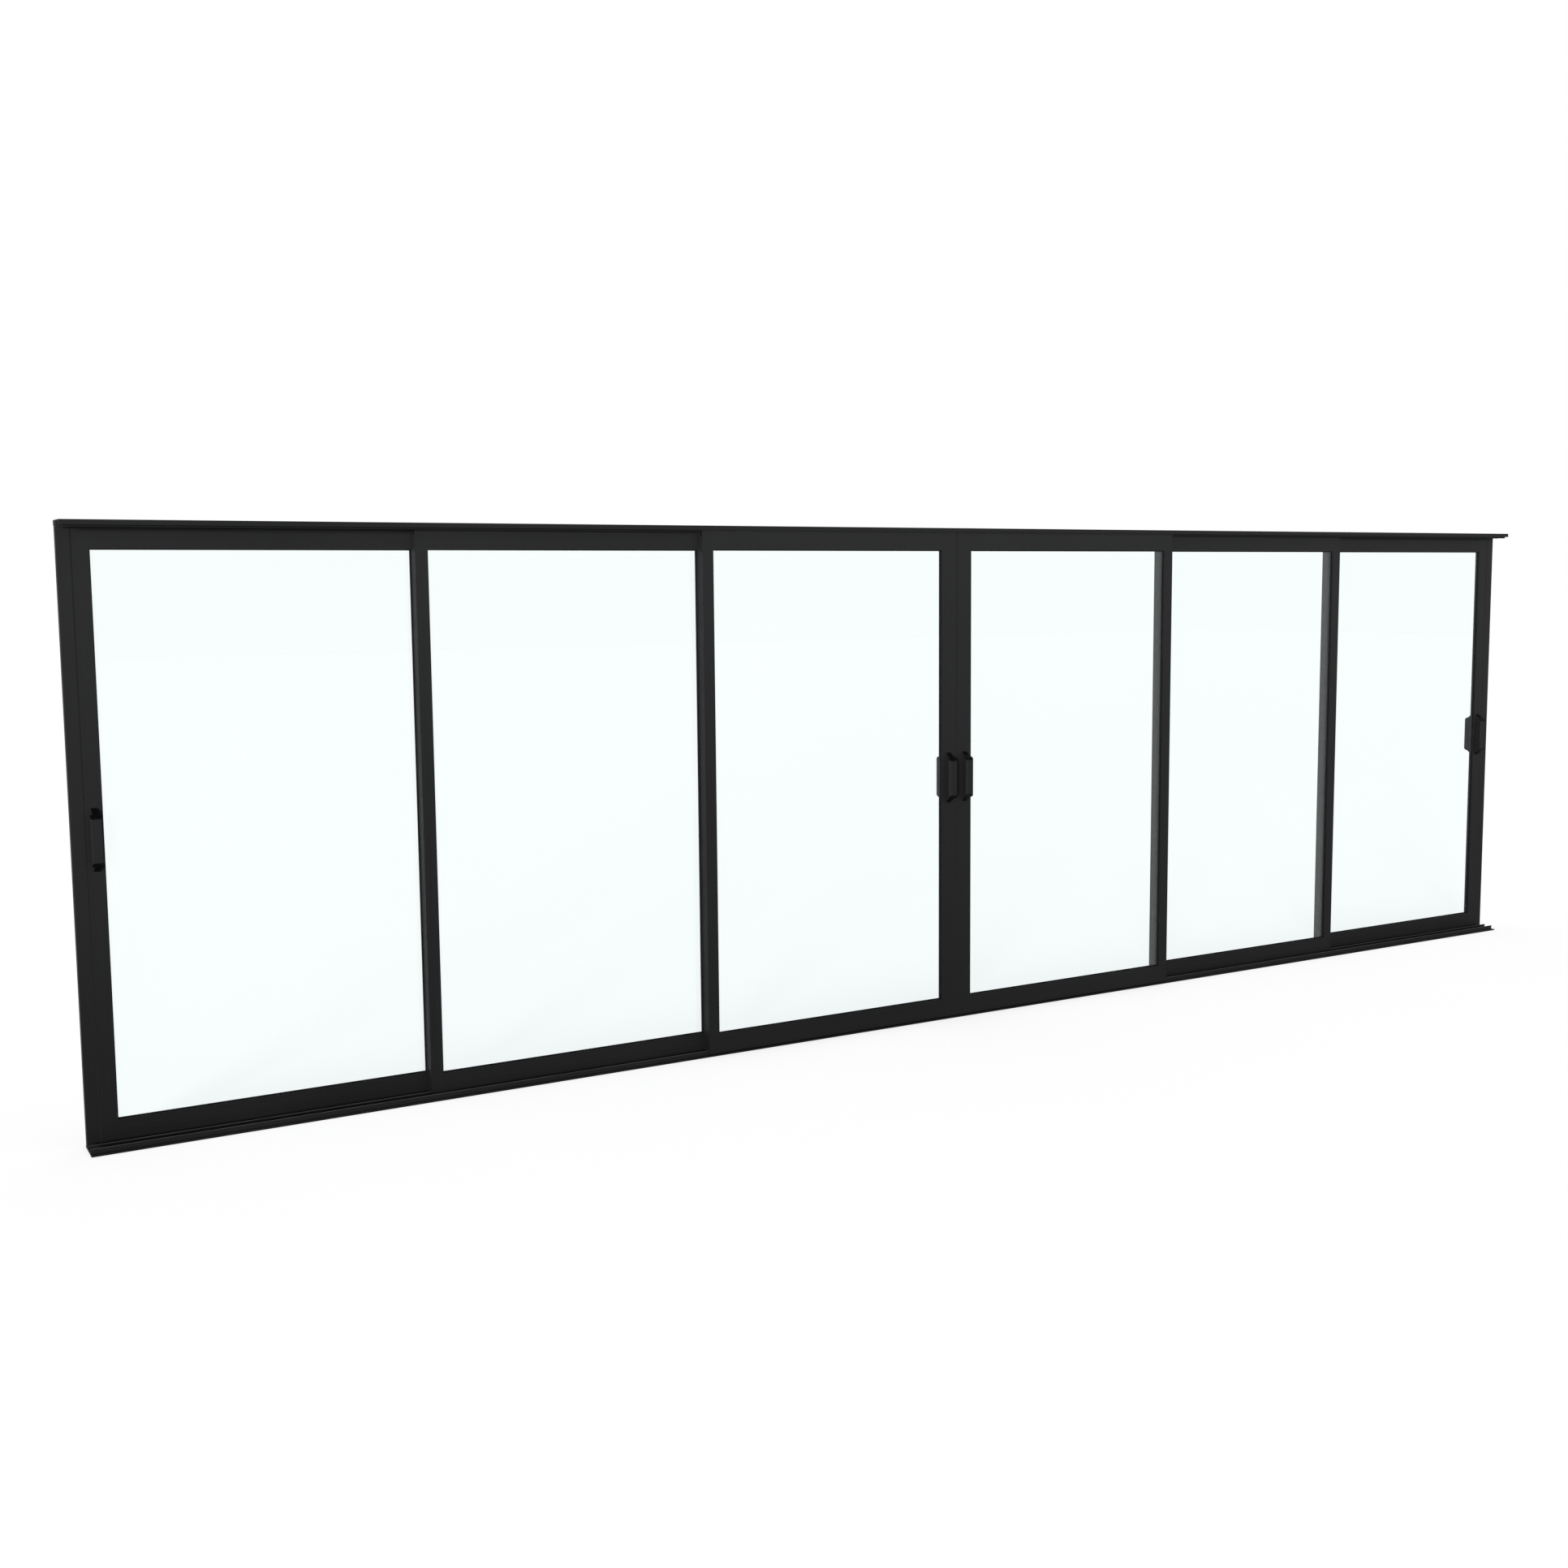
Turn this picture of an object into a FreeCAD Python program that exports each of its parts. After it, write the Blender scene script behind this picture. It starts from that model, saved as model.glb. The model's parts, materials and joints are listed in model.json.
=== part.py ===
import FreeCAD, Part
import math
import os
import Sketcher

# Six-panel glass sliding patio door on three tracks.
# Origin at the centre of the sill's underside, X along the door, Y from the front to the back, Z up.
# The left and right halves mirror each other. Outer panels run on the rear track, middle panels on the
# middle track and the pair that meets at the centre on the front track.

# Driving sizes in millimetres
sizes = {
    "door_length": 7000,  # sill and head, end to end
    "door_height": 2100,  # sill's underside to head's top
    "track_pitch": 43,  # from one track's centre line to the next
    "running_clearance": 5,  # free space round everything that slides
    "seat_gap": 0.3,  # between a piece and what carries it
    "overcut": 1,  # how far a cut starts outside the metal
    # Sill
    "sill_base": 5,
    "rib_height": 17,
    "rib_wall": 3,
    "bead_radius": 2.5,
    # Head, measured down from its top
    "head_plate": 3,
    "lip_height": 17,
    "lip_wall": 3.5,
    "fin_height": 23.5,
    "fin_wall": 3,
    "lift_gap": 12,  # above the panels, so that they lift off their ribs
    # Side profiles
    "side_width": 42,
    "side_wall": 3,
    "notch_clearance": 1,
    # Screw holes through sill and head
    "fixing_margin": 200,
    "fixing_spacing": 2200,  # at most, between neighbours
    "fixing_radius": 2.75,
    # Panels
    "panel_thickness": 27,
    "profile_wall": 2,
    "closing_stile": 54,
    "meeting_stile": 72,
    "interlock_stile": 47,
    "rail_height": 78,
    "rail_web_rise": 42,
    "meeting_gap": 5,
    "glass_thickness": 5,
    "glass_pocket_width": 9,
    "glass_pocket_depth": 12,
    # Interlock legs, which pass one another between two panels
    "leg_wall": 2,
    "leg_offset": 7,
    # Wheels in the bottom rails
    "wheel_setback": 90,
    "groove_radius": 9,  # at the bottom of the groove
    "wheel_width": 12,
    "hub_radius": 4,
    # Pull handles
    "handle_height": 1047,
    "handle_length": 214,
    "handle_face": 154,
    "handle_reach": 41,
    "handle_flange_width": 36,
    "handle_flange_wall": 14,
    "handle_bevel": 2.5,
    "handle_web": 20,
    "handle_cap": 4,
    "outer_handle_setback": 25,
    "centre_handle_setback": 33,
}

# Sizes that follow from the driving ones, as expressions
panel_half = "(dims.panel_thickness / 2)"
channel_half = f"({panel_half} + dims.running_clearance)"
half_depth = f"(dims.track_pitch + {channel_half} + dims.lip_wall)"
rib_top = "(dims.sill_base + dims.rib_height)"
fin_end = "(dims.door_height - dims.fin_height)"
panel_bottom = "(dims.sill_base + dims.running_clearance)"
panel_height = f"(dims.door_height - dims.head_plate - dims.lift_gap - {panel_bottom})"

# Distances from the door's centre line out to each panel's outer edge
outer_edge = "(dims.door_length / 2 - dims.side_width - dims.running_clearance)"
glass_visible = (
    f"(({outer_edge} - dims.closing_stile - dims.meeting_stile - 2 * dims.interlock_stile"
    " - dims.meeting_gap / 2) / 3)"
)
middle_edge = f"({outer_edge} - dims.closing_stile - {glass_visible})"
centre_edge = f"({middle_edge} - dims.interlock_stile - {glass_visible})"

doc = FreeCAD.newDocument("patio_door")
sheet = doc.addObject("Spreadsheet::Sheet", "dims")
nodes = []


def fill_sheet():
    for row, (alias, value) in enumerate(sizes.items(), start=1):
        sheet.set(f"A{row}", str(value))
        sheet.setAlias(f"A{row}", alias)
    doc.recompute()


def number(expression):
    return float(sheet.evalExpression(expression))


def new_body(name, x="0", y="0", z="0"):
    body = doc.addObject("PartDesign::Body", name)
    body.Label = name
    body.AllowCompound = True
    for axis, expression in zip("xyz", (x, y, z)):
        body.setExpression(f"Placement.Base.{axis}", expression)
    nodes.append(body)
    return body


def origin_feature(body, role):
    return next(feature for feature in body.Origin.OriginFeatures if feature.Role == role)


def new_sketch(body, name, plane):
    sketch = body.newObject("Sketcher::SketchObject", f"{body.Name}_{name}")
    sketch.AttachmentSupport = [(origin_feature(body, plane), "")]
    sketch.MapMode = "FlatFace"
    return sketch


def bind(sketch, kind, *arguments, expression):
    index = sketch.addConstraint(Sketcher.Constraint(kind, *arguments, number(expression)))
    sketch.setExpression(f"Constraints[{index}]", expression)


def arc_edge(start, end, centre, counterclockwise):
    radius = start.distanceToPoint(centre)
    angles = [math.atan2(point.y - centre.y, point.x - centre.x) for point in (start, end)]
    if not counterclockwise:
        angles.reverse()
    circle = Part.Circle(centre, FreeCAD.Vector(0, 0, 1), radius)
    return Part.ArcOfCircle(circle, angles[0], angles[1])


def add_loop(sketch, corners, arcs=()):
    """Closed outline through corners; arcs holds (first corner, centre, radius, counterclockwise)."""
    points = [FreeCAD.Vector(number(x), number(y), 0) for x, y in corners]
    bends = {first: (centre, radius, turn) for first, centre, radius, turn in arcs}
    count = len(points)
    edges = []
    for index, start in enumerate(points):
        end = points[(index + 1) % count]
        if index in bends:
            centre, radius, turn = bends[index]
            middle = FreeCAD.Vector(number(centre[0]), number(centre[1]), 0)
            edge = sketch.addGeometry(arc_edge(start, end, middle, turn))
            bind(sketch, "Radius", edge, expression=radius)
            edges.append((edge, 1, 2) if turn else (edge, 2, 1))
        else:
            edges.append((sketch.addGeometry(Part.LineSegment(start, end)), 1, 2))
    for index, (edge, first, last) in enumerate(edges):
        following = edges[(index + 1) % count]
        sketch.addConstraint(
            Sketcher.Constraint("Coincident", edge, last, following[0], following[1])
        )
        bind(sketch, "DistanceX", edge, first, expression=corners[index][0])
        bind(sketch, "DistanceY", edge, first, expression=corners[index][1])


def add_rectangle(sketch, low_x, low_y, high_x, high_y):
    add_loop(sketch, [(low_x, low_y), (high_x, low_y), (high_x, high_y), (low_x, high_y)])


def add_circle(sketch, x, y, radius):
    centre = FreeCAD.Vector(number(x), number(y), 0)
    up = FreeCAD.Vector(0, 0, 1)
    circle = sketch.addGeometry(Part.Circle(centre, up, number(radius)))
    bind(sketch, "Radius", circle, expression=radius)
    bind(sketch, "DistanceX", circle, 3, expression=x)
    bind(sketch, "DistanceY", circle, 3, expression=y)


def pad(sketch, length, midplane=False):
    body = sketch.getParentGeoFeatureGroup()
    feature = body.newObject("PartDesign::Pad", f"{sketch.Name}_pad")
    feature.Profile = sketch
    feature.Midplane = midplane
    feature.setExpression("Length", length)
    return feature


def cut_through(sketch):
    body = sketch.getParentGeoFeatureGroup()
    feature = body.newObject("PartDesign::Pocket", f"{sketch.Name}_cut")
    feature.Profile = sketch
    feature.Midplane = True
    feature.Type = "ThroughAll"
    return feature


def add_fixing_holes(body):
    """Two rows of screw holes between the tracks, evenly spread between the end margins."""
    sketch = new_sketch(body, "fixing_holes", "XY_Plane")
    span = "(dims.door_length - 2 * dims.fixing_margin)"
    gaps = math.ceil(number(f"{span} / dims.fixing_spacing"))
    for column in range(gaps + 1):
        for row in (-1, 1):
            add_circle(
                sketch,
                f"({column} / {gaps} - 1 / 2) * {span}",
                f"{row} * dims.track_pitch / 2",
                "dims.fixing_radius",
            )
    cut_through(sketch)


def build_sill():
    """Flat base with a beaded rib on each track's centre line."""
    body = new_body("sill_track")
    sketch = new_sketch(body, "section", "YZ_Plane")
    bead_centre = f"({rib_top} - dims.bead_radius)"
    neck = f"({bead_centre} - sqrt(dims.bead_radius ^ 2 - (dims.rib_wall / 2) ^ 2))"
    corners = [(f"-{half_depth}", "0"), (half_depth, "0"), (half_depth, "dims.sill_base")]
    arcs = []
    for track in (1, 0, -1):
        centre = f"{track} * dims.track_pitch"
        right = f"{centre} + dims.rib_wall / 2"
        left = f"{centre} - dims.rib_wall / 2"
        arcs.append((len(corners) + 1, (centre, bead_centre), "dims.bead_radius", True))
        corners += [(right, "dims.sill_base"), (right, neck), (left, neck), (left, "dims.sill_base")]
    corners.append((f"-{half_depth}", "dims.sill_base"))
    add_loop(sketch, corners, arcs)
    pad(sketch, "dims.door_length", midplane=True)
    add_fixing_holes(body)


def build_head():
    """Top plate with a lip at each edge and a guide fin on each track's centre line."""
    body = new_body("head_track", z="dims.door_height")
    sketch = new_sketch(body, "section", "YZ_Plane")
    ceiling = "-dims.head_plate"
    lip_inside = f"({half_depth} - dims.lip_wall)"
    corners = [(f"-{half_depth}", "0"), (f"-{half_depth}", "-dims.lip_height")]
    corners += [(f"-{lip_inside}", "-dims.lip_height"), (f"-{lip_inside}", ceiling)]
    for track in (-1, 0, 1):
        near = f"{track} * dims.track_pitch - dims.fin_wall / 2"
        far = f"{track} * dims.track_pitch + dims.fin_wall / 2"
        corners += [(near, ceiling), (near, "-dims.fin_height")]
        corners += [(far, "-dims.fin_height"), (far, ceiling)]
    corners += [(lip_inside, ceiling), (lip_inside, "-dims.lip_height")]
    corners += [(half_depth, "-dims.lip_height"), (half_depth, "0")]
    add_loop(sketch, corners)
    pad(sketch, "dims.door_length", midplane=True)
    add_fixing_holes(body)


def build_side_profile(name, side):
    """Upright box section level with the outer panel, notched over the rear rib and fin."""
    base_z = "dims.sill_base"
    body = new_body(name, x=f"{side} * dims.door_length / 2", y="dims.track_pitch", z=base_z)
    section = new_sketch(body, "section", "XY_Plane")
    add_rectangle(section, "0", f"-{panel_half}", f"{-side} * dims.side_width", panel_half)
    inside = f"({panel_half} - dims.side_wall)"
    add_rectangle(
        section,
        f"{-side} * dims.side_wall",
        f"-{inside}",
        f"{-side} * (dims.side_width - dims.side_wall)",
        inside,
    )
    top = f"(dims.door_height - dims.head_plate - {base_z})"
    pad(section, top)
    notches = new_sketch(body, "notches", "YZ_Plane")
    foot_half = "(dims.bead_radius + dims.notch_clearance)"
    foot_top = "dims.rib_height + dims.notch_clearance"
    add_rectangle(notches, f"-{foot_half}", "-dims.overcut", foot_half, foot_top)
    head_half = "(dims.fin_wall / 2 + dims.notch_clearance)"
    head_bottom = f"{fin_end} - dims.notch_clearance - {base_z}"
    add_rectangle(notches, f"-{head_half}", head_bottom, head_half, f"{top} + dims.overcut")
    cut_through(notches)


def build_stiles(panel):
    """Two hollow uprights with a glass pocket each, slotted for the rib and for the fin."""
    body = new_body(f"{panel.name}_stiles", panel.x("0"), panel.track, panel_bottom)
    sketch = new_sketch(body, "section", "XY_Plane")
    pocket_half = "dims.glass_pocket_width / 2"
    for start, inwards, width in (
        ("0", 1, panel.outer_stile),
        (panel.width, -1, panel.inner_stile),
    ):
        outside = panel.local(start)
        glass_side = panel.local(f"{start} + {inwards} * {width}")
        floor = panel.local(f"{start} + {inwards} * ({width} - dims.glass_pocket_depth)")
        add_loop(sketch, [
            (outside, f"-{panel_half}"),
            (glass_side, f"-{panel_half}"),
            (glass_side, f"-{pocket_half}"),
            (floor, f"-{pocket_half}"),
            (floor, pocket_half),
            (glass_side, pocket_half),
            (glass_side, panel_half),
            (outside, panel_half),
        ])
        chamber_start = f"{start} + {inwards} * dims.profile_wall"
        chamber_end = (
            f"{start} + {inwards} * ({width} - dims.glass_pocket_depth - dims.profile_wall)"
        )
        add_rectangle(
            sketch,
            panel.local(chamber_start),
            f"-({panel_half} - dims.profile_wall)",
            panel.local(chamber_end),
            f"{panel_half} - dims.profile_wall",
        )
    pad(sketch, panel_height)
    slots = new_sketch(body, "slots", "YZ_Plane")
    foot_half = "(dims.bead_radius + dims.running_clearance)"
    foot_top = f"{rib_top} + dims.running_clearance - {panel_bottom}"
    add_rectangle(slots, f"-{foot_half}", "-dims.overcut", foot_half, foot_top)
    head_half = "(dims.fin_wall / 2 + dims.running_clearance)"
    head_bottom = f"{fin_end} - dims.lift_gap - dims.running_clearance - {panel_bottom}"
    add_rectangle(
        slots, f"-{head_half}", head_bottom, head_half, f"{panel_height} + dims.overcut"
    )
    cut_through(slots)


def build_rails(panel):
    """Bottom rail open below for wheels and rib, and the same section turned over at the top."""
    body = new_body(f"{panel.name}_rails", panel.x(panel.glass_centre), panel.track, panel_bottom)
    sketch = new_sketch(body, "sections", "YZ_Plane")
    inside = f"({panel_half} - dims.profile_wall)"
    pocket_half = "dims.glass_pocket_width / 2"
    pocket_floor = "(dims.rail_height - dims.glass_pocket_depth)"
    for edge, direction in (("0", 1), (panel_height, -1)):
        web = f"{edge} + {direction} * dims.rail_web_rise"
        glass_side = f"{edge} + {direction} * dims.rail_height"
        floor = f"{edge} + {direction} * {pocket_floor}"
        add_loop(sketch, [
            (f"-{panel_half}", edge),
            (f"-{inside}", edge),
            (f"-{inside}", web),
            (inside, web),
            (inside, edge),
            (panel_half, edge),
            (panel_half, glass_side),
            (pocket_half, glass_side),
            (pocket_half, floor),
            (f"-{pocket_half}", floor),
            (f"-{pocket_half}", glass_side),
            (f"-{panel_half}", glass_side),
        ])
        add_rectangle(
            sketch,
            f"-{inside}",
            f"{web} + {direction} * dims.profile_wall",
            inside,
            f"{floor} - {direction} * dims.profile_wall",
        )
    pad(sketch, glass_visible, midplane=True)


def build_glass(panel):
    """Single pane, held in the pockets on all four sides."""
    hold = "(dims.glass_pocket_depth - dims.seat_gap)"
    pane = doc.addObject("Part::Box", f"{panel.name}_glass")
    pane.Label = pane.Name
    pane.setExpression("Length", f"{glass_visible} + 2 * {hold}")
    pane.setExpression("Width", "dims.glass_thickness")
    pane.setExpression("Height", f"{panel_height} - 2 * dims.rail_height + 2 * {hold}")
    pane.setExpression("Placement.Base.x", f"{panel.x(panel.glass_centre)} - {glass_visible} / 2 - {hold}")
    pane.setExpression("Placement.Base.y", f"{panel.track} - dims.glass_thickness / 2")
    pane.setExpression("Placement.Base.z", f"{panel_bottom} + dims.rail_height - {hold}")
    nodes.append(pane)


def build_interlock(panel):
    """Thin upright legs that reach from a stile into the gap between two panels."""
    body = new_body(f"{panel.name}_interlock", panel.x("0"), panel.track, panel_bottom)
    sketch = new_sketch(body, "section", "XY_Plane")
    reach = "(dims.track_pitch - dims.panel_thickness - dims.running_clearance)"
    for start, face in panel.legs:
        add_rectangle(
            sketch,
            panel.local(start),
            f"{face} * {panel_half}",
            panel.local(f"{start} + dims.leg_wall"),
            f"{face} * ({panel_half} + {reach})",
        )
    pad(sketch, panel_height)


def build_rollers(panel):
    """Wheels with a right-angled groove that straddles the rib's bead, tapered to their hubs."""
    reach = f"({glass_visible} / 2 - dims.wheel_setback)"
    bead_to_groove = "(dims.bead_radius + dims.seat_gap) * sqrt(2)"
    body = new_body(
        f"{panel.name}_rollers",
        f"{panel.x(panel.glass_centre)} - {reach}",
        panel.track,
        f"{rib_top} - dims.bead_radius + {bead_to_groove} + dims.groove_radius",
    )
    profile = new_sketch(body, "profile", "XY_Plane")
    hub_end = f"({panel_half} - dims.profile_wall)"
    wheel_half = "(dims.wheel_width / 2)"
    rim_radius = f"dims.groove_radius + {wheel_half}"
    add_loop(profile, [
        ("0", f"-{hub_end}"),
        ("dims.hub_radius", f"-{hub_end}"),
        (rim_radius, f"-{wheel_half}"),
        ("dims.groove_radius", "0"),
        (rim_radius, wheel_half),
        ("dims.hub_radius", hub_end),
        ("0", hub_end),
    ])
    wheel = body.newObject("PartDesign::Revolution", f"{body.Name}_wheel")
    wheel.Profile = profile
    wheel.ReferenceAxis = (profile, ["V_Axis"])
    wheel.Angle = 360
    pair = body.newObject("PartDesign::LinearPattern", f"{body.Name}_pair")
    pair.Originals = [wheel]
    pair.Direction = (origin_feature(body, "X_Axis"), [""])
    pair.setExpression("Length", f"2 * {reach}")
    pair.Occurrences = 2
    body.Tip = pair


def shape_handle_section(body):
    """Finger recesses beside the web, and bevelled long edges on the flange."""
    sketch = new_sketch(body, "section_cuts", "XY_Plane")
    for face in (-1, 1):
        near = f"{face} * {panel_half}"
        recess = f"{face} * ({panel_half} + dims.handle_reach - dims.handle_flange_wall)"
        bevel_end = f"{face} * ({panel_half} + dims.handle_reach - dims.handle_bevel)"
        front = f"{face} * ({panel_half} + dims.handle_reach)"
        beyond = f"{face} * ({panel_half} + dims.handle_reach + dims.overcut)"
        for side in (-1, 1):
            web = f"{side} * dims.handle_web / 2"
            flat_end = f"{side} * (dims.handle_flange_width / 2 - dims.handle_bevel)"
            flank = f"{side} * dims.handle_flange_width / 2"
            outside = f"{side} * (dims.handle_flange_width / 2 + dims.overcut)"
            add_rectangle(sketch, web, near, outside, recess)
            add_loop(sketch, [
                (flat_end, front),
                (flank, bevel_end),
                (outside, bevel_end),
                (outside, beyond),
                (flat_end, beyond),
            ])
    cut_through(sketch)


def build_handles(panel):
    """T-section pulls on both faces of a stile, cut to a slope at each end and closed by caps."""
    place = (panel.x(panel.handle), panel.track, "dims.handle_height")
    base = "dims.handle_length / 2"
    face_end = "dims.handle_face / 2"
    grips = new_body(f"{panel.name}_handle_grips", *place)
    grips_side = new_sketch(grips, "side", "YZ_Plane")
    caps = new_body(f"{panel.name}_handle_caps", *place)
    caps_side = new_sketch(caps, "side", "YZ_Plane")
    for face in (-1, 1):
        near = f"{face} * {panel_half}"
        far = f"{face} * ({panel_half} + dims.handle_reach)"
        add_loop(grips_side, [
            (near, f"-({base} - dims.handle_cap)"),
            (far, f"-({face_end} - dims.handle_cap)"),
            (far, f"{face_end} - dims.handle_cap"),
            (near, f"{base} - dims.handle_cap"),
        ])
        for end in (-1, 1):
            add_loop(caps_side, [
                (near, f"{end} * ({base} - dims.handle_cap)"),
                (far, f"{end} * ({face_end} - dims.handle_cap)"),
                (far, f"{end} * {face_end}"),
                (near, f"{end} * {base}"),
            ])
    for body, sketch in ((grips, grips_side), (caps, caps_side)):
        pad(sketch, "dims.handle_flange_width", midplane=True)
        shape_handle_section(body)


class Panel:
    """One sliding panel: lengths run inwards from its outer edge, on either half of the door."""

    def __init__(self, name, side, track, edge, outer_stile, inner_stile):
        self.name = name
        self.side = side
        self.track = f"{track} * dims.track_pitch"
        self.edge = edge
        self.outer_stile = outer_stile
        self.inner_stile = inner_stile
        self.width = f"({outer_stile} + {glass_visible} + {inner_stile})"
        self.glass_centre = f"({outer_stile} + {glass_visible} / 2)"
        self.legs = []
        self.handle = None

    def x(self, length):
        return f"{self.side} * ({self.edge} - {length})"

    def local(self, length):
        return f"{-self.side} * ({length})"

    def add_rear_leg(self):
        self.legs.append(("0", 1))

    def add_front_leg(self):
        self.legs.append((f"{self.width} - {self.inner_stile} + dims.leg_offset", -1))

    def build(self):
        build_stiles(self)
        build_rails(self)
        build_glass(self)
        build_interlock(self)
        build_rollers(self)
        if self.handle:
            build_handles(self)


def build_panels():
    front, middle, rear = -1, 0, 1
    closing_stile = "dims.closing_stile"
    meeting_stile = "dims.meeting_stile"
    interlock_stile = "dims.interlock_stile"
    for half, side in (("left", -1), ("right", 1)):
        outer = Panel(f"far_{half}", side, rear, outer_edge, closing_stile, interlock_stile)
        outer.add_front_leg()
        outer.handle = f"({closing_stile} - dims.outer_handle_setback)"
        outer.build()
        mid = Panel(f"mid_{half}", side, middle, middle_edge, interlock_stile, interlock_stile)
        mid.add_rear_leg()
        mid.add_front_leg()
        mid.build()
        centre = Panel(f"centre_{half}", side, front, centre_edge, interlock_stile, meeting_stile)
        centre.add_rear_leg()
        centre.handle = f"({centre.width} - {meeting_stile} + dims.centre_handle_setback)"
        centre.build()


def check_and_export():
    doc.recompute()
    for item in doc.Objects:
        if "Invalid" in item.State or "Error" in item.State:
            raise RuntimeError(f"{item.Label}: {item.State}")
    for node in nodes:
        if node.Shape.isNull() or not node.Shape.isValid():
            raise RuntimeError(f"{node.Label}: bad shape")
    os.makedirs("parts", exist_ok=True)
    for node in nodes:
        node.Shape.exportStep(f"parts/{node.Label}.step")
        print(f"{node.Label}: {len(node.Shape.Solids)} solids, {node.Shape.Volume / 1000:.1f} cm3")


fill_sheet()
build_sill()
build_head()
build_side_profile("left_side_profile", -1)
build_side_profile("right_side_profile", 1)
build_panels()
check_and_export()
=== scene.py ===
import bmesh
import bpy
import json
import math
from mathutils import Matrix, Vector


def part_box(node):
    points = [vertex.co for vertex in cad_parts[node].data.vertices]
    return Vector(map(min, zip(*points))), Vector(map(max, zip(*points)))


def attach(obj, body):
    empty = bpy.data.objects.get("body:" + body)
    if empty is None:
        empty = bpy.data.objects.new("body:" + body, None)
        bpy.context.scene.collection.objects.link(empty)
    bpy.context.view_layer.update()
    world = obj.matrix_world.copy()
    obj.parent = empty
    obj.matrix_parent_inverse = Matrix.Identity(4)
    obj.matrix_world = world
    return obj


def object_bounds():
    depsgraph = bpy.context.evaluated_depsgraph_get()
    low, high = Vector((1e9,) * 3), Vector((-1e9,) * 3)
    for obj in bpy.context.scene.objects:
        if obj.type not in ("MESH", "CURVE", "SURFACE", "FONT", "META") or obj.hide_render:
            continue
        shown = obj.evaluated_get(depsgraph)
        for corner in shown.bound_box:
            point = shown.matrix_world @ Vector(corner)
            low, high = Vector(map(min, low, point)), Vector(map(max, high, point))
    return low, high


# Wide six-panel sliding patio door, dressed on its frame
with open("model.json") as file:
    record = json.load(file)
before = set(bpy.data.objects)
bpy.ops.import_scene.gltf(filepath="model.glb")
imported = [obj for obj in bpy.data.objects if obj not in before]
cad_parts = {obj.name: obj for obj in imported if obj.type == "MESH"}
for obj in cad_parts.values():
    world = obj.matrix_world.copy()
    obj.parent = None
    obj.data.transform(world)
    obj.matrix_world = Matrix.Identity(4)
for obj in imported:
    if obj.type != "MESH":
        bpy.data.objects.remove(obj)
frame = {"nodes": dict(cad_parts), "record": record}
cadLow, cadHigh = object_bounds()
panels = ("far_left", "mid_left", "centre_left", "centre_right", "mid_right", "far_right")
print("frame loaded")


# The photograph's viewpoint, in front of the door's left end
viewpoint = {
    "place": (-4.26708, -6.11952, 1.89545),
    "yaw": 59.5226,  # degrees from the door's length, towards the door
    "dip": 6.0986,  # degrees below level
    "roll": -0.4002,
    "lens": 39.9804,
    "sensor": 36.0,
    "shift": (-0.02, -0.01268),
    "farthest": 200.0,
}


def placeCamera():
    camera = bpy.data.cameras.new("viewpoint")
    camera.lens = viewpoint["lens"]
    camera.sensor_width = viewpoint["sensor"]
    camera.shift_x, camera.shift_y = viewpoint["shift"]
    camera.clip_end = viewpoint["farthest"]
    tripod = bpy.data.objects.new("viewpoint", camera)
    tripod.location = viewpoint["place"]
    turn = Matrix.Rotation(math.radians(viewpoint["yaw"] - 90), 4, "Z")
    tilt = Matrix.Rotation(math.radians(90 - viewpoint["dip"]), 4, "X")
    roll = Matrix.Rotation(math.radians(viewpoint["roll"]), 4, "Z")
    tripod.rotation_euler = (turn @ tilt @ roll).to_euler()
    bpy.context.scene.collection.objects.link(tripod)
    bpy.context.scene.camera = tripod


# Studio: pale floor, white surroundings and soft lamps
studio = {
    "floorSize": 80.0,
    "floorDrop": 0.0005,
    "floorColour": (0.9, 0.9, 0.9, 1),
    "floorGlow": 0.65,
    "bounceColour": (0.3, 0.3, 0.3, 1),
    "skyLight": 0.34,
    "keyStrength": 2.55,
    "keySoftness": 12.0,
    "keyTilt": (86, 0, -42),
}


def backgroundRays(tree):
    # 1 for the camera and for what glass and gloss show, 0 for light on the object
    rays = tree.nodes.new("ShaderNodeLightPath")
    seen = rays.outputs["Is Camera Ray"]
    for kind in ("Is Glossy Ray", "Is Transmission Ray"):
        either = tree.nodes.new("ShaderNodeMath")
        either.operation = "MAXIMUM"
        tree.links.new(seen, either.inputs[0])
        tree.links.new(rays.outputs[kind], either.inputs[1])
        seen = either.outputs[0]
    return seen


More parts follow.
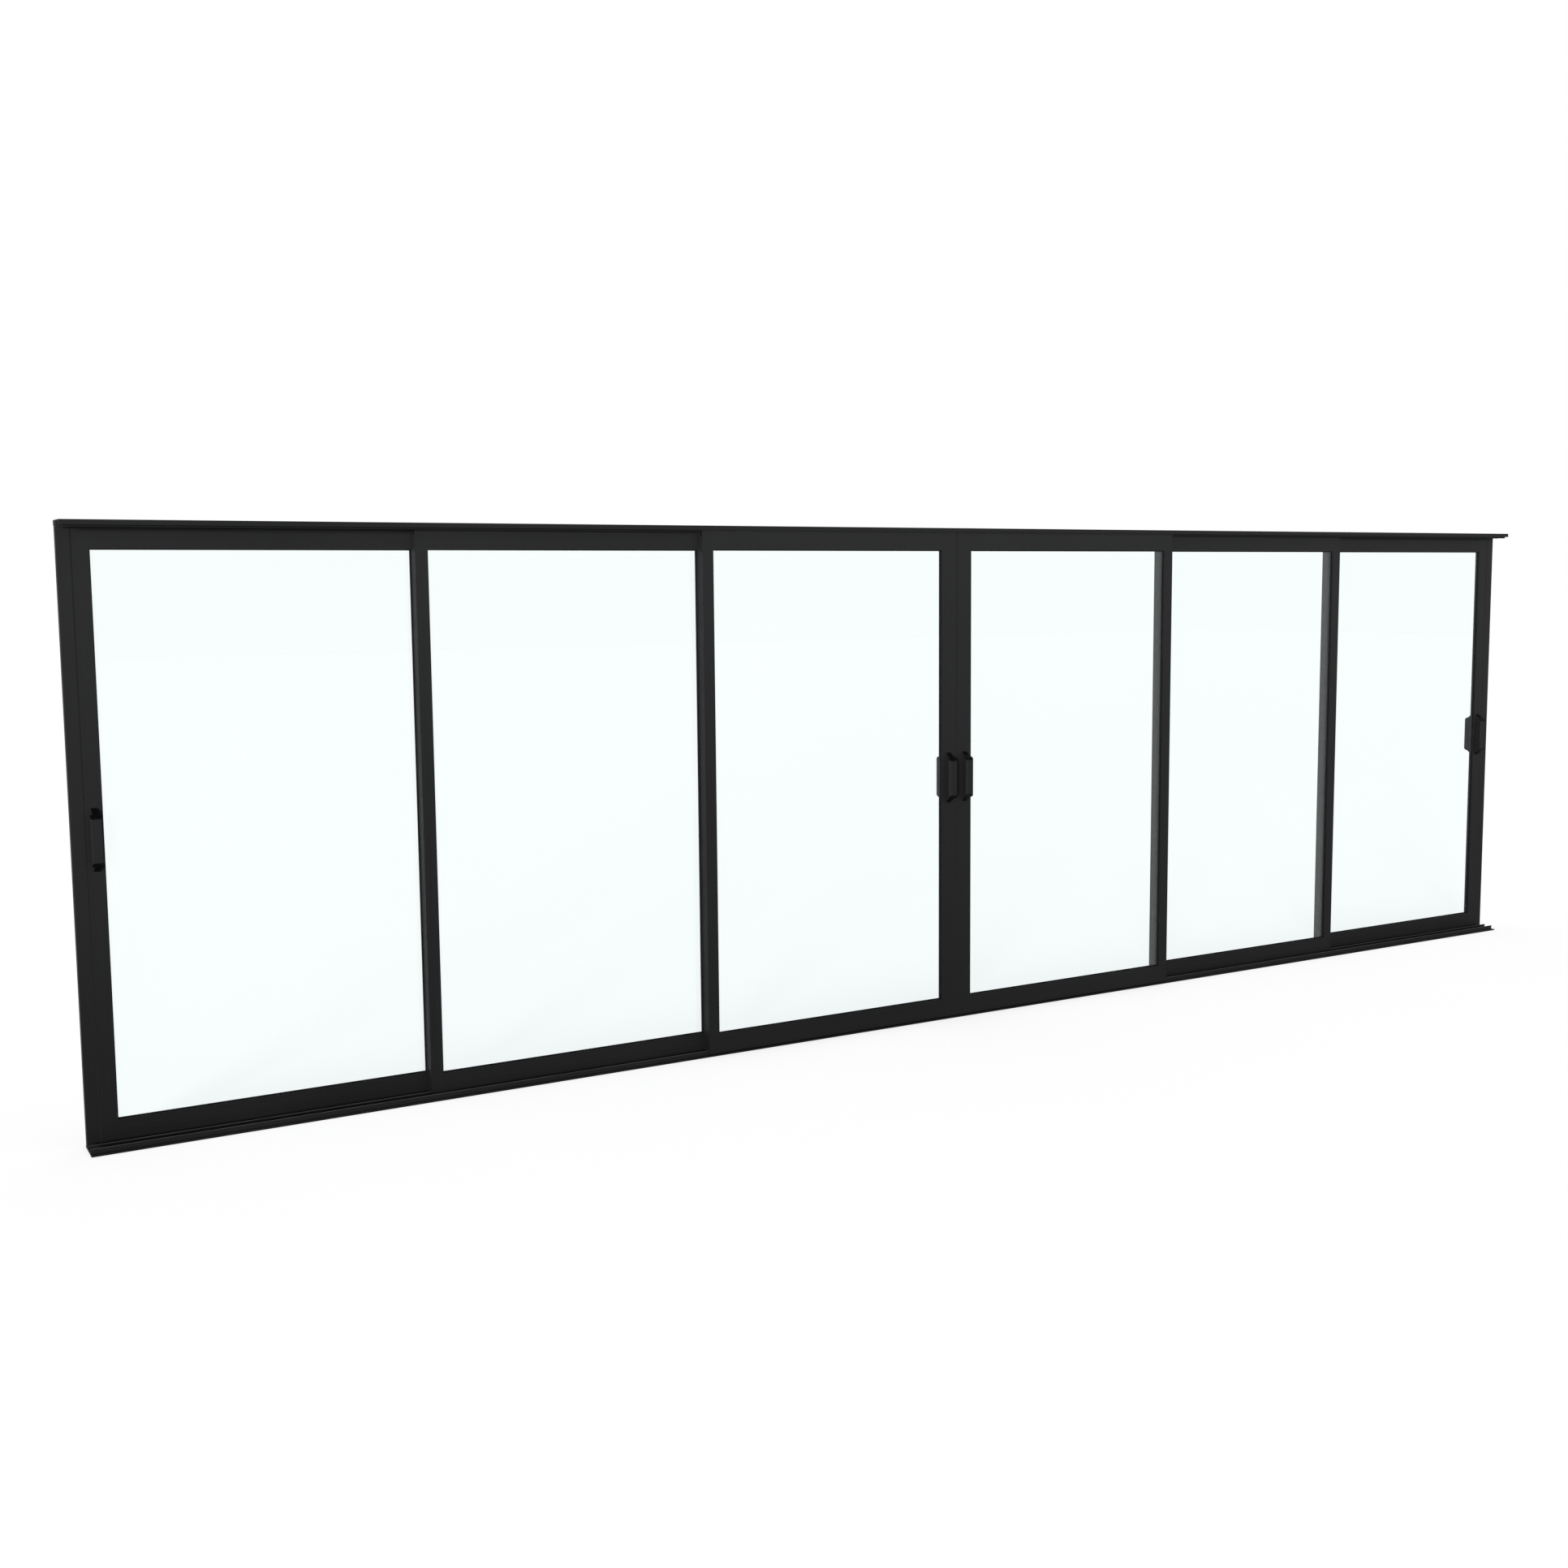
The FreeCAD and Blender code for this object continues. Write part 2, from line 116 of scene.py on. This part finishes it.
def layFloor():
    bm = bmesh.new()
    bmesh.ops.create_grid(bm, x_segments=1, y_segments=1, size=studio["floorSize"] / 2)
    bmesh.ops.translate(bm, vec=(0, 0, -studio["floorDrop"]), verts=bm.verts)
    mesh = bpy.data.meshes.new("floor")
    bm.to_mesh(mesh)
    bm.free()
    floor = bpy.data.objects.new("floor", mesh)
    bpy.context.scene.collection.objects.link(floor)
    material = bpy.data.materials.new("floorPaint")
    material.use_nodes = True
    tree = material.node_tree
    tree.nodes.clear()
    paint = tree.nodes.new("ShaderNodeBsdfDiffuse")
    paint.inputs["Color"].default_value = studio["floorColour"]
    glow = tree.nodes.new("ShaderNodeEmission")
    glow.inputs["Strength"].default_value = studio["floorGlow"]
    bright = tree.nodes.new("ShaderNodeAddShader")
    tree.links.new(paint.outputs[0], bright.inputs[0])
    tree.links.new(glow.outputs[0], bright.inputs[1])
    bounce = tree.nodes.new("ShaderNodeBsdfDiffuse")
    bounce.inputs["Color"].default_value = studio["bounceColour"]
    choose = tree.nodes.new("ShaderNodeMixShader")
    tree.links.new(backgroundRays(tree), choose.inputs[0])
    tree.links.new(bounce.outputs[0], choose.inputs[1])
    tree.links.new(bright.outputs[0], choose.inputs[2])
    output = tree.nodes.new("ShaderNodeOutputMaterial")
    tree.links.new(choose.outputs[0], output.inputs["Surface"])
    floor.data.materials.append(material)


def lightStudio():
    world = bpy.data.worlds.new("whiteStudio")
    world.use_nodes = True
    tree = world.node_tree
    sky = tree.nodes["Background"]
    sky.inputs["Color"].default_value = (1, 1, 1, 1)
    level = tree.nodes.new("ShaderNodeMapRange")
    level.inputs["To Min"].default_value = studio["skyLight"]
    level.inputs["To Max"].default_value = 1.0
    tree.links.new(backgroundRays(tree), level.inputs["Value"])
    tree.links.new(level.outputs["Result"], sky.inputs["Strength"])
    bpy.context.scene.world = world
    key = bpy.data.lights.new("keyLamp", "SUN")
    key.energy = studio["keyStrength"]
    key.angle = math.radians(studio["keySoftness"])
    lamp = bpy.data.objects.new("keyLamp", key)
    lamp.rotation_euler = [math.radians(turn) for turn in studio["keyTilt"]]
    bpy.context.scene.collection.objects.link(lamp)
    bpy.context.scene.view_settings.view_transform = "Standard"


placeCamera()
layFloor()
lightStudio()
print("camera, floor and lamps set")


# Node helpers shared by the finishes
def startMaterial(name, roughness, specular):
    material = bpy.data.materials.new(name)
    material.use_nodes = True
    tree = material.node_tree
    shader = tree.nodes["Principled BSDF"]
    shader.inputs["Roughness"].default_value = roughness
    shader.inputs["Specular IOR Level"].default_value = specular
    return material, tree, shader


def addNoise(tree, stretch, detail=2.0):
    place = tree.nodes.new("ShaderNodeTexCoord")
    mapping = tree.nodes.new("ShaderNodeMapping")
    mapping.inputs["Scale"].default_value = stretch
    tree.links.new(place.outputs["Object"], mapping.inputs["Vector"])
    noise = tree.nodes.new("ShaderNodeTexNoise")
    noise.inputs["Scale"].default_value = 1.0
    noise.inputs["Detail"].default_value = detail
    tree.links.new(mapping.outputs["Vector"], noise.inputs["Vector"])
    return noise.outputs["Fac"]


def addColourMix(tree, factor, first, second):
    mix = tree.nodes.new("ShaderNodeMix")
    mix.data_type = "RGBA"
    mix.inputs["A"].default_value = (*first, 1)
    mix.inputs["B"].default_value = (*second, 1)
    tree.links.new(factor, mix.inputs["Factor"])
    return mix


def addRange(tree, value, low, high, newLow, newHigh):
    spread = tree.nodes.new("ShaderNodeMapRange")
    spread.inputs["From Min"].default_value = low
    spread.inputs["From Max"].default_value = high
    spread.inputs["To Min"].default_value = newLow
    spread.inputs["To Max"].default_value = newHigh
    tree.links.new(value, spread.inputs["Value"])
    return spread.outputs["Result"]


def heightOf(tree):
    place = tree.nodes.new("ShaderNodeTexCoord")
    split = tree.nodes.new("ShaderNodeSeparateXYZ")
    tree.links.new(place.outputs["Object"], split.inputs["Vector"])
    return split.outputs["Z"]


def addBump(tree, shader, heights, distance, strength=1.0):
    bump = tree.nodes.new("ShaderNodeBump")
    bump.inputs["Strength"].default_value = strength
    bump.inputs["Distance"].default_value = distance
    tree.links.new(heights, bump.inputs["Height"])
    tree.links.new(bump.outputs["Normal"], shader.inputs["Normal"])


def mixFloats(tree, first, second, share):
    mix = tree.nodes.new("ShaderNodeMix")
    mix.inputs["Factor"].default_value = share
    tree.links.new(first, mix.inputs["A"])
    tree.links.new(second, mix.inputs["B"])
    return mix.outputs["Result"]


# Near-black powder coat over extruded aluminium
coat = {
    "dark": (0.0098, 0.0099, 0.0102),
    "pale": (0.0272, 0.0277, 0.0285),
    "headPaintedShade": 0.8,  # painted shade: the head's coat is the panels' coat made darker by this share
    # painted light: the sill's coat is the powder coat made lighter, standing in for light its top
    # faces don't get
    "sillPaintedLight": 1.3,
    "heightShadeShare": 0.75,  # how much of the tone follows the height: painted light and shade, lighter at the top and darker at the bottom, as light falls from above
    "toneSpread": (0.35, 0.65),
    "lineShare": 0.4,  # of the rest of the tone
    "roughness": (0.5, 0.62),
    "glossSpread": (0.3, 0.7),
    "mottleShare": 0.5,  # of the roughness
    "specular": 0.08,
    "grain": 1500.0,  # speckles per metre
    "grainDetail": 1.0,
    "mottle": 1.6,
    "mottleDetail": 4.0,
    "dieLine": 260.0,  # lines per metre across the extrusion
    "dieStretch": 0.15,
    "dieDetail": 3.0,
    "dieRelief": 0.35,  # share of the relief, the rest being grain
    "relief": 0.00006,
}


def powderCoat(name, along, shade=1.0):
    material, tree, shader = startMaterial(name, coat["roughness"][0], coat["specular"])
    across, lengthwise = coat["dieLine"], coat["dieStretch"]
    stretch = {"x": (lengthwise, across, across), "z": (across, across, lengthwise)}[along]
    grain = addNoise(tree, (coat["grain"],) * 3, coat["grainDetail"])
    lines = addNoise(tree, stretch, coat["dieDetail"])
    mottle = addNoise(tree, (coat["mottle"],) * 3, coat["mottleDetail"])
    blend = mixFloats(tree, mottle, lines, coat["lineShare"])
    tone = addRange(tree, blend, *coat["toneSpread"], 0, 1)
    # Painted light and shade: the coat is made lighter towards the top and darker towards the
    # bottom
    paintedHeightShade = addRange(tree, heightOf(tree), cadLow.z, cadHigh.z, 0, 1)
    tones = [[shade * value for value in coat[end]] for end in ("dark", "pale")]
    colour = addColourMix(tree, mixFloats(tree, tone, paintedHeightShade, coat["heightShadeShare"]), *tones)
    tree.links.new(colour.outputs["Result"], shader.inputs["Base Color"])
    blend = mixFloats(tree, grain, mottle, coat["mottleShare"])
    gloss = addRange(tree, blend, *coat["glossSpread"], *coat["roughness"])
    tree.links.new(gloss, shader.inputs["Roughness"])
    addBump(tree, shader, mixFloats(tree, grain, lines, coat["dieRelief"]), coat["relief"])
    return material


# Bare metal shows where the wheels have rubbed the coat off the sill's beads
track = {
    "wearStart": 0.0203,  # height on the beads
    "wearEnd": 0.0217,
    "bare": (0.12, 0.12, 0.122),
    "patch": (9.0, 500.0, 500.0),
    "patchDetail": 3.0,
    "patchSpread": (0.3, 0.6),
    "leastWear": 0.35,
}


def trackCoat():
    # The sill's coat starts as the powder coat painted lighter, as painted light
    material = powderCoat("trackCoat", "x", coat["sillPaintedLight"])
    tree = material.node_tree
    shader = tree.nodes["Principled BSDF"]
    painted = shader.inputs["Base Color"].links[0].from_socket
    crest = addRange(tree, heightOf(tree), track["wearStart"], track["wearEnd"], 0, 1)
    cloud = addNoise(tree, track["patch"], track["patchDetail"])
    patch = addRange(tree, cloud, *track["patchSpread"], track["leastWear"], 1)
    worn = tree.nodes.new("ShaderNodeMath")
    worn.operation = "MULTIPLY"
    tree.links.new(crest, worn.inputs[0])
    tree.links.new(patch, worn.inputs[1])
    mix = addColourMix(tree, worn.outputs[0], track["bare"], track["bare"])
    tree.links.new(painted, mix.inputs["A"])
    tree.links.new(mix.outputs["Result"], shader.inputs["Base Color"])
    return material


# Clear float glass with a trace of cyan
pane = {
    "tint": (0.94, 0.999, 0.998),
    "streak": (0.952, 1.0, 1.0),
    "shade": (0.985, 1.0, 1.0),  # of light that passes on to other things
    "clear": 0.978,  # the rest is a pale film of dust
    "bend": 1.33,
    "roughness": 0.0,
    "specular": 0.5,
    "mottle": 0.9,
    "mottleSpread": (0.35, 0.65),
    "wave": 2.5,
    "waveHeight": 0.0002,
    "waveStrength": 0.2,
}


def clearGlass():
    material, tree, shader = startMaterial("clearGlass", pane["roughness"], pane["specular"])
    shader.inputs["Transmission Weight"].default_value = pane["clear"]
    shader.inputs["IOR"].default_value = pane["bend"]
    tone = addRange(tree, addNoise(tree, (pane["mottle"],) * 3), *pane["mottleSpread"], 0, 1)
    colour = addColourMix(tree, tone, pane["tint"], pane["streak"])
    tree.links.new(colour.outputs["Result"], shader.inputs["Base Color"])
    waves = addNoise(tree, (pane["wave"],) * 3)
    addBump(tree, shader, waves, pane["waveHeight"], pane["waveStrength"])
    clear = tree.nodes.new("ShaderNodeBsdfTransparent")
    clear.inputs["Color"].default_value = (*pane["shade"], 1)
    rays = tree.nodes.new("ShaderNodeLightPath")
    seen = shader
    for ray in ("Is Diffuse Ray", "Is Shadow Ray"):
        choose = tree.nodes.new("ShaderNodeMixShader")
        tree.links.new(rays.outputs[ray], choose.inputs[0])
        tree.links.new(seen.outputs[0], choose.inputs[1])
        tree.links.new(clear.outputs[0], choose.inputs[2])
        seen = choose
    tree.links.new(seen.outputs[0], tree.nodes["Material Output"].inputs["Surface"])
    return material


# Plastic, rubber, brush and screw finishes: two tones, a grain and its relief
grainSpread = (0.3, 0.7)
moulded = {
    "capPlastic": {
        "dark": (0.0014, 0.0014, 0.0015),
        "pale": (0.0028, 0.0028, 0.003),
        "roughness": 0.55,
        "specular": 0.04,
        "stretch": (2200.0, 2200.0, 2200.0),
        "relief": 0.00005,
    },
    "sealRubber": {
        "dark": (0.004, 0.004, 0.0042),
        "pale": (0.007, 0.007, 0.0073),
        "roughness": 0.65,
        "specular": 0.06,
        "stretch": (700.0, 700.0, 700.0),
        "relief": 0.00004,
    },
    "stripRubber": {
        "dark": (0.017, 0.0172, 0.0177),
        "pale": (0.0225, 0.0228, 0.0234),
        "roughness": 0.65,
        "specular": 0.06,
        "stretch": (700.0, 700.0, 700.0),
        "relief": 0.00004,
    },
    "brushPile": {
        "dark": (0.007, 0.007, 0.0075),
        "pale": (0.03, 0.03, 0.032),
        "roughness": 0.95,
        "specular": 0.05,
        "stretch": (2600.0, 60.0, 2600.0),  # fibres stand towards the panels
        "relief": 0.0004,
    },
    "wheelNylon": {
        "dark": (0.035, 0.035, 0.036),
        "pale": (0.055, 0.055, 0.056),
        "roughness": 0.4,
        "specular": 0.4,
        "stretch": (90.0, 1400.0, 90.0),
        "relief": 0.00003,
    },
    "screwSteel": {
        "dark": (0.16, 0.16, 0.165),
        "pale": (0.26, 0.26, 0.265),
        "roughness": 0.36,
        "specular": 0.5,
        "metallic": 1.0,
        "stretch": (1200.0, 1200.0, 1200.0),
        "relief": 0.00002,
    },
}


def mouldedFinish(name):
    look = moulded[name]
    material, tree, shader = startMaterial(name, look["roughness"], look["specular"])
    shader.inputs["Metallic"].default_value = look.get("metallic", 0.0)
    grain = addNoise(tree, look["stretch"])
    tone = addRange(tree, grain, *grainSpread, 0, 1)
    colour = addColourMix(tree, tone, look["dark"], look["pale"])
    tree.links.new(colour.outputs["Result"], shader.inputs["Base Color"])
    addBump(tree, shader, grain, look["relief"])
    return material


lengthwiseCoat = powderCoat("lengthwiseCoat", "x")
uprightCoat = powderCoat("uprightCoat", "z")
# The head's coat: a darker copy of the panels' coat, as painted shade
headCoat = powderCoat("headCoat", "x", coat["headPaintedShade"])
sillCoat = trackCoat()
glass = clearGlass()
capPlastic = mouldedFinish("capPlastic")
sealRubber = mouldedFinish("sealRubber")
stripRubber = mouldedFinish("stripRubber")
brushPile = mouldedFinish("brushPile")
wheelNylon = mouldedFinish("wheelNylon")
screwSteel = mouldedFinish("screwSteel")
print("finishes mixed")


def dressFrame():
    finishes = {
        "sill_track": sillCoat,
        "head_track": headCoat,
        "left_side_profile": uprightCoat,
        "right_side_profile": uprightCoat,
    }
    endings = {
        "stiles": uprightCoat,
        "rails": lengthwiseCoat,
        "glass": glass,
        "interlock": uprightCoat,
        "rollers": wheelNylon,
        "handle_grips": uprightCoat,
        "handle_caps": capPlastic,
    }
    for panel in panels:
        for ending, finish in endings.items():
            finishes[f"{panel}_{ending}"] = finish
    for name, node in frame["nodes"].items():
        node.material_slots[0].material = finishes[name]


dressFrame()
print("metalwork and glass finished")


def finishPiece(bm, name, body, material):
    bmesh.ops.recalc_face_normals(bm, faces=bm.faces)
    mesh = bpy.data.meshes.new(name)
    bm.to_mesh(mesh)
    bm.free()
    mesh.materials.append(material)
    piece = bpy.data.objects.new(name, mesh)
    bpy.context.scene.collection.objects.link(piece)
    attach(piece, body)


def addBar(bm, outline, along, low, high):
    # A closed outline of (first, second) pairs, drawn out along X or Z
    if along == "x":
        corners = [bm.verts.new((low, first, second)) for first, second in outline]
        reach = (high - low, 0, 0)
    else:
        corners = [bm.verts.new((first, second, low)) for first, second in outline]
        reach = (0, 0, high - low)
    grown = bmesh.ops.extrude_face_region(bm, geom=[bm.faces.new(corners)])
    far = [item for item in grown["geom"] if isinstance(item, bmesh.types.BMVert)]
    bmesh.ops.translate(bm, vec=reach, verts=far)


# Wedge gaskets round both faces of each pane
gasket = {
    "railHeight": 0.078,
    "glassHalf": 0.00252,  # just off the pane's face
    "seat": 0.00005,
    "width": 0.003,
    "height": 0.0032,
    "rounding": 0.0012,
    "segments": 3,
}


def openingOf(panel):
    low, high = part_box(f"{panel}_rails")
    rise = Vector((0, 0, gasket["railHeight"]))
    return low + rise, high - rise


def addGasketRing(bm, low, high, side):
    near = (low.y + high.y) / 2 + side * gasket["glassHalf"]
    left, right = low.x + gasket["seat"], high.x - gasket["seat"]
    bottom, top = low.z + gasket["seat"], high.z - gasket["seat"]
    places = ((left, bottom), (right, bottom), (right, top), (left, top))
    opening = bm.faces.new([bm.verts.new((x, near, z)) for x, z in places])
    opening.normal_update()
    ring = bmesh.ops.inset_individual(
        bm, faces=[opening], thickness=gasket["width"], use_even_offset=True,
    )["faces"]
    bmesh.ops.delete(bm, geom=[opening], context="FACES_ONLY")
    grown = bmesh.ops.extrude_face_region(bm, geom=ring)
    raised = [item for item in grown["geom"] if isinstance(item, bmesh.types.BMVert)]
    bmesh.ops.translate(bm, vec=(0, side * gasket["height"], 0), verts=raised)
    bmesh.ops.recalc_face_normals(bm, faces=bm.faces)
    margin = gasket["width"] / 2
    inner = [
        vert for vert in raised
        if left + margin < vert.co.x < right - margin and bottom + margin < vert.co.z < top - margin
    ]
    lip = [edge for edge in bm.edges if edge.verts[0] in inner and edge.verts[1] in inner]
    bmesh.ops.bevel(
        bm, geom=lip, offset=gasket["rounding"], segments=gasket["segments"],
        affect="EDGES", profile=0.5, material=-1,
    )


def makeGaskets():
    for panel in panels:
        low, high = openingOf(panel)
        bm = bmesh.new()
        for side in (-1, 1):
            addGasketRing(bm, low, high, side)
        finishPiece(bm, f"{panel}_gaskets", f"{panel}_panel", sealRubber)


makeGaskets()
print("glazing gaskets fitted")


# Brush seals on the interlock legs' tips, reaching to just short of the next panel
brush = {
    "half": 0.0008,
    "gap": 0.0004,
    "endGap": 0.001,
    "legStart": 0.02,  # past the panel's face, where only the leg is
}


def legCentre(panel, side):
    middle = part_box(f"{panel}_glass")[0].y
    xs = [
        vert.co.x for vert in frame["nodes"][f"{panel}_interlock"].data.vertices
        if side * (vert.co.y - middle) > brush["legStart"]
    ]
    return (min(xs) + max(xs)) / 2


def makeLegBrushes():
    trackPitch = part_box("mid_left_rails")[0].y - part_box("centre_left_rails")[0].y
    for panel in panels:
        low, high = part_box(f"{panel}_interlock")
        stileLow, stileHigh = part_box(f"{panel}_stiles")
        gapWidth = trackPitch - (stileHigh.y - stileLow.y)
        bm = bmesh.new()
        for tip, face in ((low.y, stileLow.y), (high.y, stileHigh.y)):
            if abs(tip - face) < brush["gap"]:
                continue
            side = math.copysign(1, tip - face)
            end = face + side * (gapWidth - brush["gap"])
            left = legCentre(panel, side) - brush["half"]
            right = left + 2 * brush["half"]
            outline = ((left, tip), (right, tip), (right, end), (left, end))
            addBar(bm, outline, "z", low.z + brush["endGap"], high.z - brush["endGap"])
        finishPiece(bm, f"{panel}_leg_brushes", f"{panel}_panel", brushPile)


makeLegBrushes()
print("brush seals fitted")


# Rubber strips where stiles meet and on the side profiles, notched for rib and fin
seal = {
    "recess": 0.0002,  # behind the panels' faces
    "endGap": 0.0005,
    "rounding": 0.0006,
    "segments": 3,
    "tolerance": 0.000001,
    "meeting": {"reach": 0.0023, "rib": 0.0075, "ribTop": 0.027, "fin": 0.0065, "finFoot": 2.0595},
    "closing": {"reach": 0.0046, "rib": 0.0035, "ribTop": 0.023, "fin": 0.0025, "finFoot": 2.0755},
}


def makeSeal(name, body, kind, host, side):
    notch = seal[kind]
    low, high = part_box(host)
    edge = high.x if side > 0 else low.x
    free = edge + side * notch["reach"]
    line = (low.y + high.y) / 2
    front, back = low.y + seal["recess"], high.y - seal["recess"]
    bottom, top = low.z + seal["endGap"], high.z - seal["endGap"]
    outline = (
        (front, bottom), (line - notch["rib"], bottom), (line - notch["rib"], notch["ribTop"]),
        (line + notch["rib"], notch["ribTop"]), (line + notch["rib"], bottom), (back, bottom),
        (back, top), (line + notch["fin"], top), (line + notch["fin"], notch["finFoot"]),
        (line - notch["fin"], notch["finFoot"]), (line - notch["fin"], top), (front, top),
    )
    bm = bmesh.new()
    addBar(bm, outline, "x", edge, free)
    reach = (back - front) / 2
    flanks = [
        brink for brink in bm.edges
        if all(abs(vert.co.x - free) < seal["tolerance"] for vert in brink.verts)
        and all(abs(abs(vert.co.y - line) - reach) < seal["tolerance"] for vert in brink.verts)
    ]
    bmesh.ops.bevel(
        bm, geom=flanks, offset=seal["rounding"], segments=seal["segments"],
        affect="EDGES", profile=0.5, material=-1,
    )
    finishPiece(bm, name, body, stripRubber)


for half, side in (("left", 1), ("right", -1)):
    meets = f"centre_{half}"
    makeSeal(f"{meets}_meeting_seal", f"{meets}_panel", "meeting", f"{meets}_stiles", side)
    makeSeal(f"{half}_closing_seal", "frame", "closing", f"{half}_side_profile", side)
print("meeting and closing seals fitted")


# Plastic blocks in the top rails that straddle the head's fins
guide = {
    "length": 0.06,
    "endGap": 0.04,
    "wallGap": 0.0003,
    "finHalf": 0.0015,
    "finGap": 0.0006,
    "height": 0.03,
    "floor": 0.005,
    "wall": 0.002,  # of the rail
    "webDrop": 0.042,  # from the panel's top to the rail's web
}


def makeTopGuides():
    for panel in panels:
        low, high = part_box(f"{panel}_rails")
        line = (low.y + high.y) / 2
        outer = (high.y - low.y) / 2 - guide["wall"] - guide["wallGap"]
        slot = guide["finHalf"] + guide["finGap"]
        foot = high.z - guide["webDrop"]
        top = foot + guide["height"]
        outline = (
            (line - outer, foot), (line + outer, foot), (line + outer, top), (line + slot, top),
            (line + slot, foot + guide["floor"]), (line - slot, foot + guide["floor"]),
            (line - slot, top), (line - outer, top),
        )
        bm = bmesh.new()
        for start in (low.x + guide["endGap"], high.x - guide["endGap"] - guide["length"]):
            addBar(bm, outline, "x", start, start + guide["length"])
        finishPiece(bm, f"{panel}_top_guides", f"{panel}_panel", wheelNylon)


makeTopGuides()
print("top guides fitted")


# Hexagon-socket screws in the holes through sill and head
screw = {
    "headRadius": 0.0048,
    "headTop": 0.0036,
    "headHeight": 0.0021,
    "shankRadius": 0.0023,
    "socketRadius": 0.0019,
    "socketDepth": 0.0013,
    "sides": 24,
    "shortfall": 0.0003,  # of the shank against the plate
}


def addScrew(bm, x, y, seat, up, length):
    head = bmesh.ops.create_cone(
        bm, cap_ends=True, segments=screw["sides"], radius1=screw["headRadius"],
        radius2=screw["headTop"], depth=screw["headHeight"],
        matrix=Matrix.Translation((0, 0, screw["headHeight"] / 2)),
    )
    verts = list(head["verts"])
    cap = next(face for face in bm.faces if all(
        vert in verts and vert.co.z > screw["headHeight"] / 2 for vert in face.verts))
    bmesh.ops.inset_individual(bm, faces=[cap], thickness=screw["headTop"] - screw["socketRadius"])
    side = math.pi / 3
    for vert in cap.verts:
        angle = math.atan2(vert.co.y, vert.co.x) % side - side / 2
        flat = screw["socketRadius"] * math.cos(side / 2) / math.cos(angle)
        reach = math.hypot(vert.co.x, vert.co.y)
        vert.co.x *= flat / reach
        vert.co.y *= flat / reach
    verts += cap.verts
    sunk = bmesh.ops.extrude_discrete_faces(bm, faces=[cap])["faces"][0]
    bmesh.ops.translate(bm, vec=(0, 0, -screw["socketDepth"]), verts=sunk.verts)
    verts += sunk.verts
    shank = bmesh.ops.create_cone(
        bm, cap_ends=True, segments=screw["sides"], radius1=screw["shankRadius"],
        radius2=screw["shankRadius"], depth=length,
        matrix=Matrix.Translation((0, 0, -length / 2)),
    )
    verts += shank["verts"]
    place = Matrix.Translation((x, y, seat)) @ Matrix.Diagonal((1, 1, up, 1))
    bmesh.ops.transform(bm, matrix=place, verts=list(set(verts)))


def makeScrews():
    millimetre = 0.001
    top = cadHigh.z
    bm = bmesh.new()
    for mount in frame["record"]["mounts"]:
        if mount["kind"] != "bolt_pattern":
            continue
        middle = mount["pos_m"][2]
        up = 1 if middle < top / 2 else -1
        halfPlate = middle if up > 0 else top - middle
        length = 2 * halfPlate - screw["shortfall"]
        halfX = mount["dims"]["spacing_x_mm"] * millimetre / 2
        halfY = mount["dims"]["spacing_y_mm"] * millimetre / 2
        for x in (-halfX, halfX):
            for y in (-halfY, halfY):
                addScrew(bm, x, y, middle + up * halfPlate, up, length)
    finishPiece(bm, "frame_screws", "frame", screwSteel)


makeScrews()
print("screws driven")
